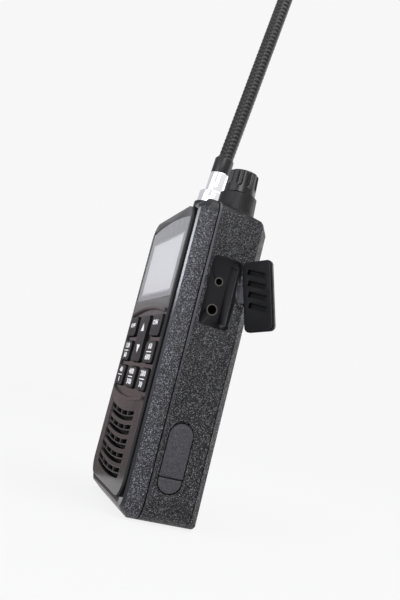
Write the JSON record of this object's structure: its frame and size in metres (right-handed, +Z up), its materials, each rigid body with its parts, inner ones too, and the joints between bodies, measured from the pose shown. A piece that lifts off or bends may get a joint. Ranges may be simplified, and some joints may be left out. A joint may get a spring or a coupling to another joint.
{
  "type": "walkie talkie",
  "caption": "Handheld two-way radio with a gloss display front, rubber keys, slotted speaker grille, side sockets under an open rubber cover, fluted knob and ribbed aerial.",
  "frame": {"origin": "centre of the flat base, on the standing plane", "axes": "+Z up towards the aerial, -Y towards the display, +X towards the side with the sockets"},
  "size_m": [0.0775, 0.0378, 0.2795],
  "materials": {
    "speckled_front": "fine speckled blue-grey grain",
    "grained_rear": "coarse charcoal grain",
    "gloss_panel": "polished black",
    "lens": "tinted clear window",
    "display": "pale grey display cell",
    "diffuser": "milky light guide",
    "inner_plastic": "plain black moulding",
    "key_rubber": "soft matt dark grey",
    "mat_rubber": "grey silicone",
    "circuit_board": "green solder resist",
    "bare_steel": "tinned steel",
    "paper": "black paper",
    "cloth": "black cloth",
    "magnet": "dark sintered",
    "screw_steel": "blackened screw",
    "brass": "turned brass",
    "socket_metal": "plated contact tube",
    "cover_rubber": "matt black rubber",
    "grey_rubber": "smooth dark grey rubber",
    "satin_black": "satin black",
    "chrome_plate": "bright chrome",
    "whip_rubber": "ribbed black sleeve",
    "gold_contact": "gold-plated contact",
    "cell_wrap": "metal cell can"
  },
  "bodies": {
    "case": {"rear_case": "grained_rear", "front_case": "speckled_front", "front_panel": "gloss_panel", "display_lens": "lens", "display_module": "display", "back_light": "diffuser", "display_frame": "inner_plastic", "keypad_mat": "mat_rubber", "key_board": "circuit_board", "board_link": "inner_plastic", "main_board": "circuit_board", "rf_shield": "bare_steel", "speaker_frame": "bare_steel", "speaker_cone": "paper", "speaker_magnet": "magnet", "speaker_mesh": "cloth", "microphone": "bare_steel", "case_gasket": "mat_rubber", "case_screws": "screw_steel", "clip_inserts": "brass", "jack_block": "inner_plastic", "jack_large": "socket_metal", "jack_small": "socket_metal", "cover_pin": "screw_steel", "usb_socket": "bare_steel", "usb_cover_tail": "grey_rubber", "usb_cover_pin": "screw_steel", "volume_pot": "inner_plastic", "pot_nut": "bare_steel", "antenna_socket": "brass", "antenna_collar": "chrome_plate", "talk_switch": "inner_plastic", "battery_contacts": "gold_contact"},
    "key_left_1": {"key_left_1": "key_rubber"},
    "key_right_1": {"key_right_1": "key_rubber"},
    "key_left_2": {"key_left_2": "key_rubber"},
    "key_right_2": {"key_right_2": "key_rubber"},
    "key_left_3": {"key_left_3": "key_rubber"},
    "key_mid_3": {"key_mid_3": "key_rubber"},
    "key_right_3": {"key_right_3": "key_rubber"},
    "key_rocker": {"key_rocker": "key_rubber"},
    "volume_control": {"volume_knob": "satin_black", "pot_shaft": "bare_steel"},
    "aerial": {"antenna_coupling": "chrome_plate", "antenna_sleeve": "whip_rubber", "antenna_whip": "whip_rubber", "antenna_wire": "brass", "antenna_tip": "whip_rubber"},
    "socket_flap": {"jack_cover": "cover_rubber"},
    "data_flap": {"usb_cover": "grey_rubber"},
    "talk_key": {"talk_key": "grey_rubber"},
    "battery_pack": {"battery_lid": "grained_rear", "battery_shell": "inner_plastic", "battery_pads": "gold_contact", "battery_cells": "cell_wrap"},
    "battery_catch": {"battery_latch": "satin_black"}
  },
  "joints": [
    {"name": "key_left_1_press", "type": "slide", "parent": "case", "child": "key_left_1", "axis": [0, 1, 0], "range_m": [0, 0.0006], "stiffness_N_per_m": 400},
    {"name": "key_right_1_press", "type": "slide", "parent": "case", "child": "key_right_1", "axis": [0, 1, 0], "range_m": [0, 0.0006], "stiffness_N_per_m": 400},
    {"name": "key_left_2_press", "type": "slide", "parent": "case", "child": "key_left_2", "axis": [0, 1, 0], "range_m": [0, 0.0006], "stiffness_N_per_m": 400},
    {"name": "key_right_2_press", "type": "slide", "parent": "case", "child": "key_right_2", "axis": [0, 1, 0], "range_m": [0, 0.0006], "stiffness_N_per_m": 400},
    {"name": "key_left_3_press", "type": "slide", "parent": "case", "child": "key_left_3", "axis": [0, 1, 0], "range_m": [0, 0.0006], "stiffness_N_per_m": 400},
    {"name": "key_mid_3_press", "type": "slide", "parent": "case", "child": "key_mid_3", "axis": [0, 1, 0], "range_m": [0, 0.0006], "stiffness_N_per_m": 400},
    {"name": "key_right_3_press", "type": "slide", "parent": "case", "child": "key_right_3", "axis": [0, 1, 0], "range_m": [0, 0.0006], "stiffness_N_per_m": 400},
    {"name": "key_rocker_tilt", "type": "hinge", "parent": "case", "child": "key_rocker", "pos_m": [0, -0.0123, 0.0652], "axis": [1, 0, 0], "range_deg": [-2.2, 2.2], "stiffness_Nm_per_rad": 0.05},
    {"name": "volume_turn", "type": "hinge", "parent": "case", "child": "volume_control", "pos_m": [0.022, 0.0023, 0.1284], "axis": [0, 0, 1], "range_deg": [-150, 150]},
    {"name": "jack_cover_swing", "type": "hinge", "parent": "case", "child": "socket_flap", "pos_m": [0.03185, 0.0094, 0.0887], "axis": [0, -0.1444, 0.9895], "range_deg": [-132, 5]},
    {"name": "usb_cover_hinge", "type": "hinge", "parent": "case", "child": "data_flap", "pos_m": [0.0312, 0, 0.0183], "axis": [0, 1, 0], "range_deg": [0, 95]},
    {"name": "talk_key_press", "type": "slide", "parent": "case", "child": "talk_key", "axis": [1, 0, 0], "range_m": [0, 0.0008], "stiffness_N_per_m": 900},
    {"name": "antenna_unscrew", "type": "hinge", "parent": "case", "child": "aerial", "pos_m": [-0.018, 0.003, 0.122], "axis": [0, 0.061, 0.9981], "continuous": true},
    {"name": "battery_slide", "type": "slide", "parent": "case", "child": "battery_pack", "axis": [0, 1, 0], "range_m": [0, 0.016]},
    {"name": "battery_latch_slide", "type": "slide", "parent": "case", "child": "battery_catch", "axis": [0, 0, 1], "range_m": [-0.0026, 0]}
  ]
}
